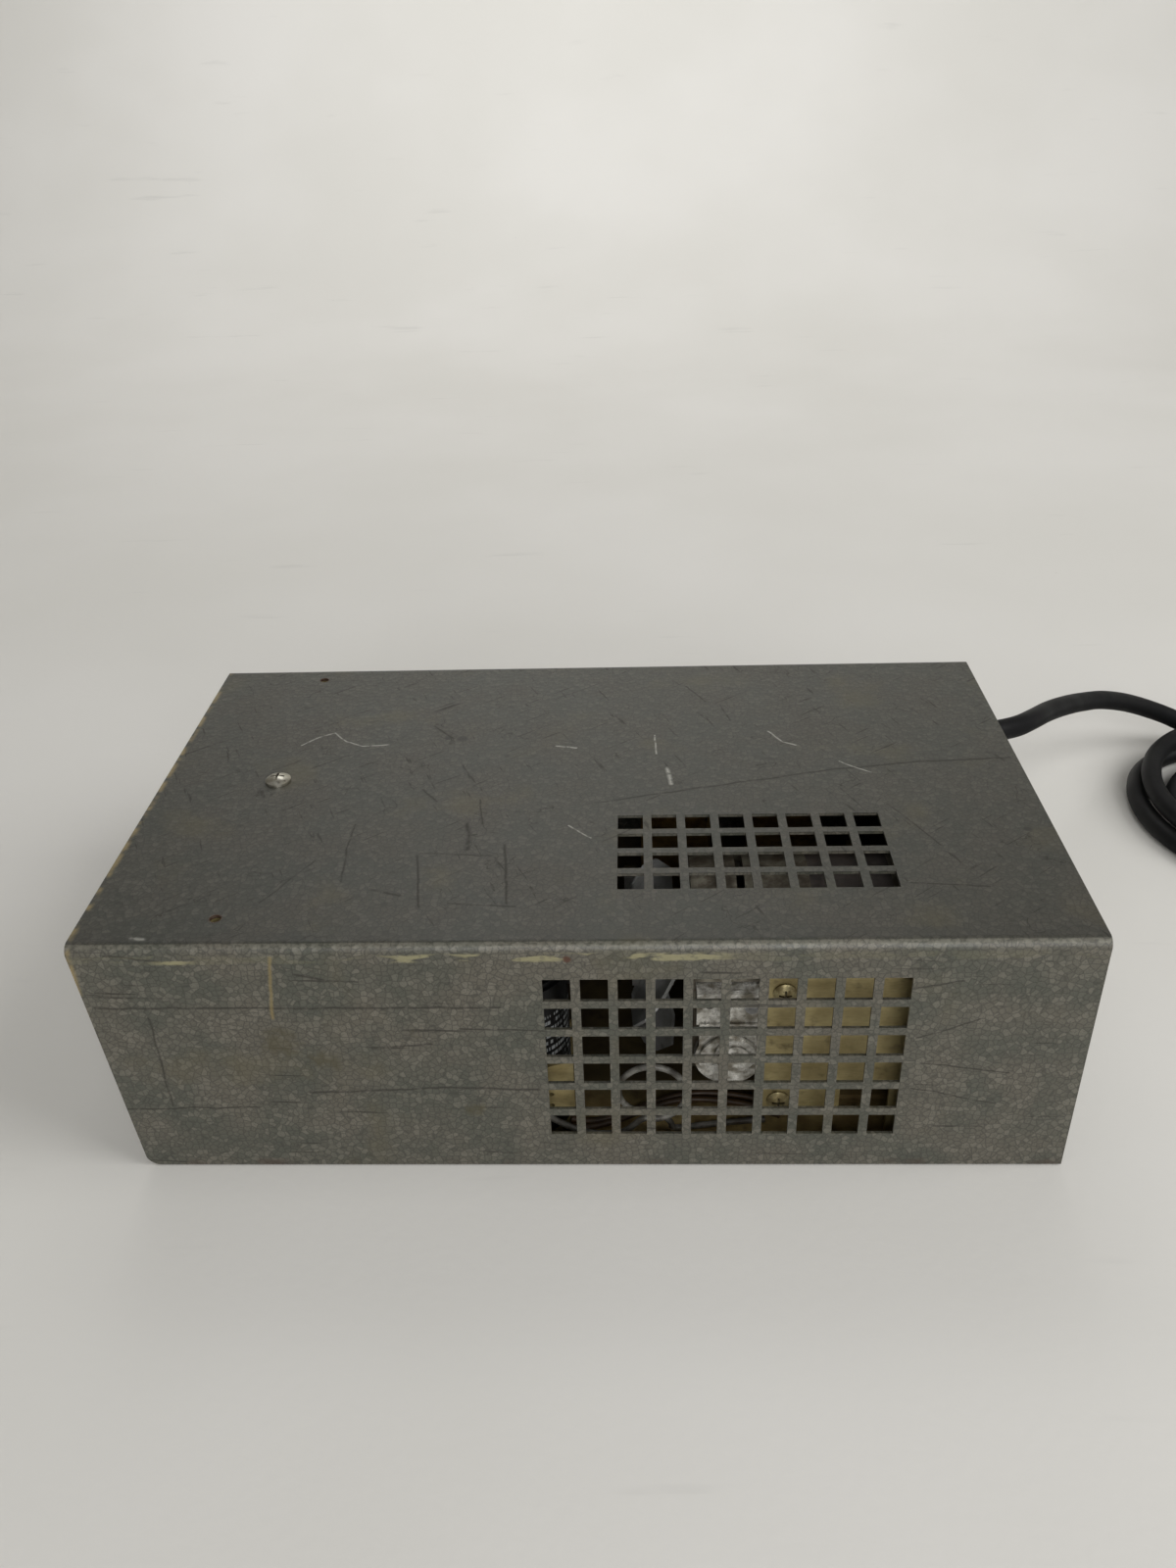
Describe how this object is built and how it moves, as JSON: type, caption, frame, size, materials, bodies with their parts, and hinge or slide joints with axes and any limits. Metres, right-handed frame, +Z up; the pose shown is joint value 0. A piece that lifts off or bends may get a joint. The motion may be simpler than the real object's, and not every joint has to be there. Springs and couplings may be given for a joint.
{
  "type": "garage door opener",
  "caption": "Ceiling chain-drive opener head: worn hammertone hood with square vents over a motor, worm gear, sprocket and relays, with its mains cord coiled beside it.",
  "frame": {"origin": "middle of the hood's footprint, on the surface the unit stands on", "axes": "+X to the right along the hood, towards the cord end; +Y from the vented front to the back; +Z up"},
  "size_m": [0.6152, 0.313, 0.1073],
  "materials": {
    "hood_paint": "hammertone enamel, worn",
    "nickel_steel": "plated, dulled",
    "yellow_zinc": "yellow zinc, stained",
    "grey_sheet": "semi gloss",
    "cast_alloy": "as cast",
    "machined_steel": "machined",
    "bronze": "sintered, oiled",
    "wheel_bronze": "cut",
    "laminations": "varnished",
    "copper_winding": "varnished wire",
    "fan_metal": "rolled",
    "black_can": "moulded",
    "wrapped_coil": "taped",
    "relay_metal": "plated, tarnished",
    "black_plastic": "moulded",
    "red_plastic": "moulded",
    "white_insulation": "smooth",
    "brown_insulation": "smooth",
    "cord_rubber": "slightly glossy",
    "blade_brass": "bright"
  },
  "bodies": {
    "chassis": {"hood": "hood_paint", "hood_screw": "nickel_steel", "hood_bridge": "yellow_zinc", "hood_clips": "nickel_steel", "base_pan": "yellow_zinc", "end_plate_left": "grey_sheet", "end_plate_right": "grey_sheet", "chassis_screws": "yellow_zinc", "rail_saddle": "yellow_zinc", "gear_case": "cast_alloy", "gear_case_lid": "cast_alloy", "case_screws": "machined_steel", "worm_bushes": "bronze", "output_bushes": "bronze", "motor_bell_left": "cast_alloy", "motor_bell_right": "cast_alloy", "switch_cover": "cast_alloy", "switch_cover_screw": "machined_steel", "stator_core": "laminations", "stator_windings": "copper_winding", "motor_bolts": "machined_steel", "shaft_bushes": "bronze", "motor_cradle": "yellow_zinc", "control_plate": "yellow_zinc", "plate_screws": "yellow_zinc", "capacitor": "black_can", "capacitor_bracket": "yellow_zinc", "transformer_core": "laminations", "transformer_coil": "wrapped_coil", "open_relay": "relay_metal", "close_relay": "relay_metal", "overload_breaker": "black_plastic", "terminal_strip": "black_plastic", "terminal_screws": "yellow_zinc", "white_lead": "white_insulation", "brown_leads": "brown_insulation", "strain_relief": "black_plastic", "power_cord": "cord_rubber", "cord_coil": "cord_rubber", "cord_tail": "cord_rubber", "plug": "cord_rubber", "plug_blades": "blade_brass"},
    "motor": {"motor_shaft": "machined_steel", "rotor": "cast_alloy", "cooling_fan": "fan_metal", "shaft_coupling": "machined_steel", "worm": "machined_steel"},
    "output": {"output_shaft": "machined_steel", "worm_wheel": "wheel_bronze", "wheel_pin": "machined_steel", "drive_sprocket": "machined_steel", "sprocket_collar": "machined_steel"},
    "open_arm": {"open_armature": "relay_metal"},
    "close_arm": {"close_armature": "relay_metal"},
    "button": {"reset_button": "red_plastic"}
  },
  "joints": [
    {"name": "motor_spin", "type": "hinge", "parent": "chassis", "child": "motor", "pos_m": [0.02475, -0.0446, 0.05], "axis": [1, 0, 0], "continuous": true},
    {"name": "output_spin", "type": "hinge", "parent": "chassis", "child": "output", "pos_m": [-0.07325, 0, 0.05], "axis": [0, 0, 1], "continuous": true},
    {"name": "open_relay_pull", "type": "hinge", "parent": "chassis", "child": "open_arm", "pos_m": [0.03775, 0.0729, 0.0434], "axis": [1, 0, 0], "range_deg": [0, 6], "stiffness_Nm_per_rad": 0.1, "springref_deg": -8.59},
    {"name": "close_relay_pull", "type": "hinge", "parent": "chassis", "child": "close_arm", "pos_m": [0.08775, 0.0729, 0.0434], "axis": [1, 0, 0], "range_deg": [0, 6], "stiffness_Nm_per_rad": 0.1, "springref_deg": -8.59},
    {"name": "reset_push", "type": "slide", "parent": "chassis", "child": "button", "axis": [1, 0, 0], "range_m": [-0.003, 0], "stiffness_N_per_m": 600, "springref_m": 0.001}
  ],
  "couplings": [
    {"joint": "output_spin", "follows": "motor_spin", "ratio": -0.027778}
  ]
}
